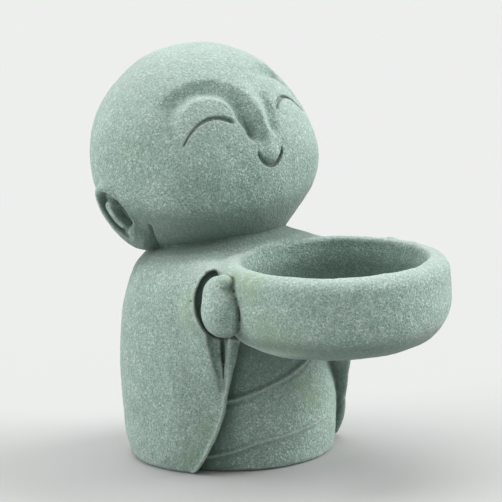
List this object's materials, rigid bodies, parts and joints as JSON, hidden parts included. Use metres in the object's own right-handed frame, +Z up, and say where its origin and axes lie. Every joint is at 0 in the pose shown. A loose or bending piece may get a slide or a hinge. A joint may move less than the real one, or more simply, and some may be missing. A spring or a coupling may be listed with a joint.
{
  "type": "jizo statue with bowl",
  "caption": "Small round-headed stone jizo with closed smiling eyes, holding a round open bowl in front with both hands.",
  "frame": {"origin": "centre of the robe's flat underside, under the trunk's axis", "axes": "+Z up, the figure faces -Y, its left hand is on +X"},
  "size_m": [0.1582, 0.2491, 0.2471],
  "materials": {
    "stone": "matt fine-grained grey-green stone"
  },
  "bodies": {
    "root": {"jizo_statue": "stone"}
  },
  "joints": []
}
